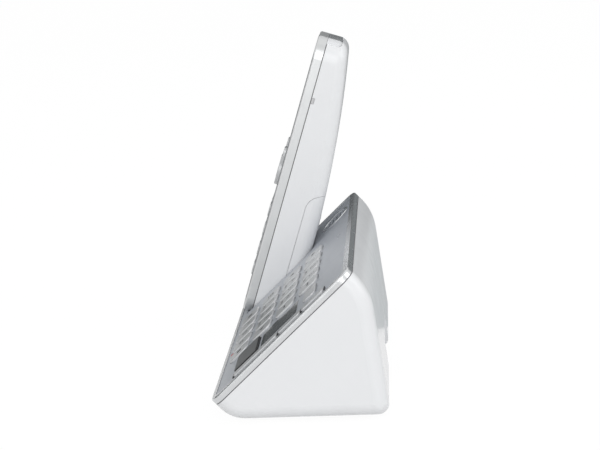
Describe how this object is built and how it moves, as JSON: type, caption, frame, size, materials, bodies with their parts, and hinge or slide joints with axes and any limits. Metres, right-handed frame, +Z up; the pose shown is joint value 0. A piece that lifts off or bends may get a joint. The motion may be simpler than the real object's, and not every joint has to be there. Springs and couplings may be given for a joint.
{
  "type": "cordless phone",
  "caption": "White cordless desk phone: wedge base with a silver-framed sloping key face and display, and a slim handset standing in its charging cradle.",
  "frame": {"origin": "on the table, below the middle of the base", "axes": "+Z up, -Y towards the user, +X to the user's right"},
  "size_m": [0.184, 0.0842, 0.1696],
  "materials": {
    "white_shell": "glossy white",
    "silver_trim": "satin silver paint",
    "face_grey": "glossy light blue grey",
    "key_silver": "satin silver grey",
    "dark_key": "glossy dark grey",
    "smoked_lens": "smoked clear plastic",
    "lamp_smoke": "smoky translucent plastic",
    "display_glass": "liquid crystal cell",
    "rubber_grey": "matte",
    "rubber_foot": "matte pale grey",
    "board_green": "solder mask",
    "bare_steel": "zinc plated",
    "contact_metal": "gold plated",
    "black_plastic": "matte black",
    "cell_wrap": "shrink wrap"
  },
  "bodies": {
    "base": {"base_shell": "white_shell", "bottom_plate": "white_shell", "rubber_feet": "rubber_foot", "base_screws": "bare_steel", "face_frame": "silver_trim", "face_panel": "face_grey", "handset_cradle": "face_grey", "cradle_contacts": "contact_metal", "display_lens": "smoked_lens", "display_module": "display_glass", "base_key_mat": "rubber_grey", "base_circuit_board": "board_green", "base_speaker": "black_plastic", "line_socket": "black_plastic", "power_socket": "black_plastic"},
    "handset": {"handset_bezel": "silver_trim", "handset_rear_shell": "white_shell", "battery_door": "white_shell", "battery_cells": "cell_wrap", "ringer_lamp": "lamp_smoke", "handset_display_lens": "smoked_lens", "handset_display_module": "display_glass", "handset_key_mat": "rubber_grey", "handset_circuit_board": "board_green", "handset_screws": "bare_steel", "earpiece": "black_plastic", "microphone": "black_plastic", "charge_plates": "contact_metal"},
    "key_row1_col1": {"key_row1_col1": "key_silver"},
    "key_row1_col2": {"key_row1_col2": "key_silver"},
    "key_row1_col3": {"key_row1_col3": "key_silver"},
    "key_row1_col4": {"key_row1_col4": "key_silver"},
    "key_row1_col5": {"key_row1_col5": "key_silver"},
    "key_row2_col1": {"key_row2_col1": "key_silver"},
    "key_row2_col2": {"key_row2_col2": "key_silver"},
    "key_row2_col3": {"key_row2_col3": "key_silver"},
    "key_row2_col4": {"key_row2_col4": "key_silver"},
    "key_row2_col5": {"key_row2_col5": "key_silver"},
    "key_row3_col1": {"key_row3_col1": "key_silver"},
    "key_row3_col2": {"key_row3_col2": "key_silver"},
    "key_row3_col3": {"key_row3_col3": "key_silver"},
    "key_row3_col4": {"key_row3_col4": "key_silver"},
    "key_row3_col5": {"key_row3_col5": "key_silver"},
    "key_row4_col1": {"key_row4_col1": "key_silver"},
    "key_row4_col2": {"key_row4_col2": "key_silver"},
    "key_row4_col3": {"key_row4_col3": "key_silver"},
    "key_row4_col4": {"key_row4_col4": "key_silver"},
    "key_row4_col5": {"key_row4_col5": "key_silver"},
    "answer_key": {"answer_key": "dark_key"},
    "menu_key": {"menu_key": "key_silver"},
    "side_key_1": {"side_key_1": "key_silver"},
    "side_key_2": {"side_key_2": "key_silver"},
    "side_key_3": {"side_key_3": "key_silver"},
    "handset_dial_row_1": {"handset_dial_row_1": "key_silver"},
    "handset_dial_row_2": {"handset_dial_row_2": "key_silver"},
    "handset_dial_row_3": {"handset_dial_row_3": "key_silver"},
    "handset_dial_row_4": {"handset_dial_row_4": "key_silver"},
    "talk_key": {"talk_key": "key_silver"},
    "end_key": {"end_key": "key_silver"},
    "navigation_key": {"navigation_key": "key_silver"}
  },
  "joints": [
    {"name": "handset_lift", "type": "slide", "parent": "base", "child": "handset", "axis": [0, 0.3173, 0.9483], "range_m": [0, 0.07]},
    {"name": "key_row1_col1_press", "type": "slide", "parent": "base", "child": "key_row1_col1", "axis": [0, 0.6782, -0.7349], "range_m": [0, 0.001], "stiffness_N_per_m": 300},
    {"name": "key_row1_col2_press", "type": "slide", "parent": "base", "child": "key_row1_col2", "axis": [0, 0.6782, -0.7349], "range_m": [0, 0.001], "stiffness_N_per_m": 300},
    {"name": "key_row1_col3_press", "type": "slide", "parent": "base", "child": "key_row1_col3", "axis": [0, 0.6782, -0.7349], "range_m": [0, 0.001], "stiffness_N_per_m": 300},
    {"name": "key_row1_col4_press", "type": "slide", "parent": "base", "child": "key_row1_col4", "axis": [0, 0.6782, -0.7349], "range_m": [0, 0.001], "stiffness_N_per_m": 300},
    {"name": "key_row1_col5_press", "type": "slide", "parent": "base", "child": "key_row1_col5", "axis": [0, 0.6782, -0.7349], "range_m": [0, 0.001], "stiffness_N_per_m": 300},
    {"name": "key_row2_col1_press", "type": "slide", "parent": "base", "child": "key_row2_col1", "axis": [0, 0.6782, -0.7349], "range_m": [0, 0.001], "stiffness_N_per_m": 300},
    {"name": "key_row2_col2_press", "type": "slide", "parent": "base", "child": "key_row2_col2", "axis": [0, 0.6782, -0.7349], "range_m": [0, 0.001], "stiffness_N_per_m": 300},
    {"name": "key_row2_col3_press", "type": "slide", "parent": "base", "child": "key_row2_col3", "axis": [0, 0.6782, -0.7349], "range_m": [0, 0.001], "stiffness_N_per_m": 300},
    {"name": "key_row2_col4_press", "type": "slide", "parent": "base", "child": "key_row2_col4", "axis": [0, 0.6782, -0.7349], "range_m": [0, 0.001], "stiffness_N_per_m": 300},
    {"name": "key_row2_col5_press", "type": "slide", "parent": "base", "child": "key_row2_col5", "axis": [0, 0.6782, -0.7349], "range_m": [0, 0.001], "stiffness_N_per_m": 300},
    {"name": "key_row3_col1_press", "type": "slide", "parent": "base", "child": "key_row3_col1", "axis": [0, 0.6782, -0.7349], "range_m": [0, 0.001], "stiffness_N_per_m": 300},
    {"name": "key_row3_col2_press", "type": "slide", "parent": "base", "child": "key_row3_col2", "axis": [0, 0.6782, -0.7349], "range_m": [0, 0.001], "stiffness_N_per_m": 300},
    {"name": "key_row3_col3_press", "type": "slide", "parent": "base", "child": "key_row3_col3", "axis": [0, 0.6782, -0.7349], "range_m": [0, 0.001], "stiffness_N_per_m": 300},
    {"name": "key_row3_col4_press", "type": "slide", "parent": "base", "child": "key_row3_col4", "axis": [0, 0.6782, -0.7349], "range_m": [0, 0.001], "stiffness_N_per_m": 300},
    {"name": "key_row3_col5_press", "type": "slide", "parent": "base", "child": "key_row3_col5", "axis": [0, 0.6782, -0.7349], "range_m": [0, 0.001], "stiffness_N_per_m": 300},
    {"name": "key_row4_col1_press", "type": "slide", "parent": "base", "child": "key_row4_col1", "axis": [0, 0.6782, -0.7349], "range_m": [0, 0.001], "stiffness_N_per_m": 300},
    {"name": "key_row4_col2_press", "type": "slide", "parent": "base", "child": "key_row4_col2", "axis": [0, 0.6782, -0.7349], "range_m": [0, 0.001], "stiffness_N_per_m": 300},
    {"name": "key_row4_col3_press", "type": "slide", "parent": "base", "child": "key_row4_col3", "axis": [0, 0.6782, -0.7349], "range_m": [0, 0.001], "stiffness_N_per_m": 300},
    {"name": "key_row4_col4_press", "type": "slide", "parent": "base", "child": "key_row4_col4", "axis": [0, 0.6782, -0.7349], "range_m": [0, 0.001], "stiffness_N_per_m": 300},
    {"name": "key_row4_col5_press", "type": "slide", "parent": "base", "child": "key_row4_col5", "axis": [0, 0.6782, -0.7349], "range_m": [0, 0.001], "stiffness_N_per_m": 300},
    {"name": "answer_key_press", "type": "slide", "parent": "base", "child": "answer_key", "axis": [0, 0.6782, -0.7349], "range_m": [0, 0.001], "stiffness_N_per_m": 300},
    {"name": "menu_key_press", "type": "slide", "parent": "base", "child": "menu_key", "axis": [0, 0.6782, -0.7349], "range_m": [0, 0.001], "stiffness_N_per_m": 300},
    {"name": "side_key_1_press", "type": "slide", "parent": "base", "child": "side_key_1", "axis": [0, 0.6782, -0.7349], "range_m": [0, 0.001], "stiffness_N_per_m": 300},
    {"name": "side_key_2_press", "type": "slide", "parent": "base", "child": "side_key_2", "axis": [0, 0.6782, -0.7349], "range_m": [0, 0.001], "stiffness_N_per_m": 300},
    {"name": "side_key_3_press", "type": "slide", "parent": "base", "child": "side_key_3", "axis": [0, 0.6782, -0.7349], "range_m": [0, 0.001], "stiffness_N_per_m": 300},
    {"name": "handset_dial_row_1_press", "type": "slide", "parent": "handset", "child": "handset_dial_row_1", "axis": [0, 0.9483, -0.3173], "range_m": [0, 0.0008], "stiffness_N_per_m": 300},
    {"name": "handset_dial_row_2_press", "type": "slide", "parent": "handset", "child": "handset_dial_row_2", "axis": [0, 0.9483, -0.3173], "range_m": [0, 0.0008], "stiffness_N_per_m": 300},
    {"name": "handset_dial_row_3_press", "type": "slide", "parent": "handset", "child": "handset_dial_row_3", "axis": [0, 0.9483, -0.3173], "range_m": [0, 0.0008], "stiffness_N_per_m": 300},
    {"name": "handset_dial_row_4_press", "type": "slide", "parent": "handset", "child": "handset_dial_row_4", "axis": [0, 0.9483, -0.3173], "range_m": [0, 0.0008], "stiffness_N_per_m": 300},
    {"name": "talk_key_press", "type": "slide", "parent": "handset", "child": "talk_key", "axis": [0, 0.9483, -0.3173], "range_m": [0, 0.0008], "stiffness_N_per_m": 300},
    {"name": "end_key_press", "type": "slide", "parent": "handset", "child": "end_key", "axis": [0, 0.9483, -0.3173], "range_m": [0, 0.0008], "stiffness_N_per_m": 300},
    {"name": "navigation_key_press", "type": "slide", "parent": "handset", "child": "navigation_key", "axis": [0, 0.9483, -0.3173], "range_m": [0, 0.0008], "stiffness_N_per_m": 300}
  ]
}
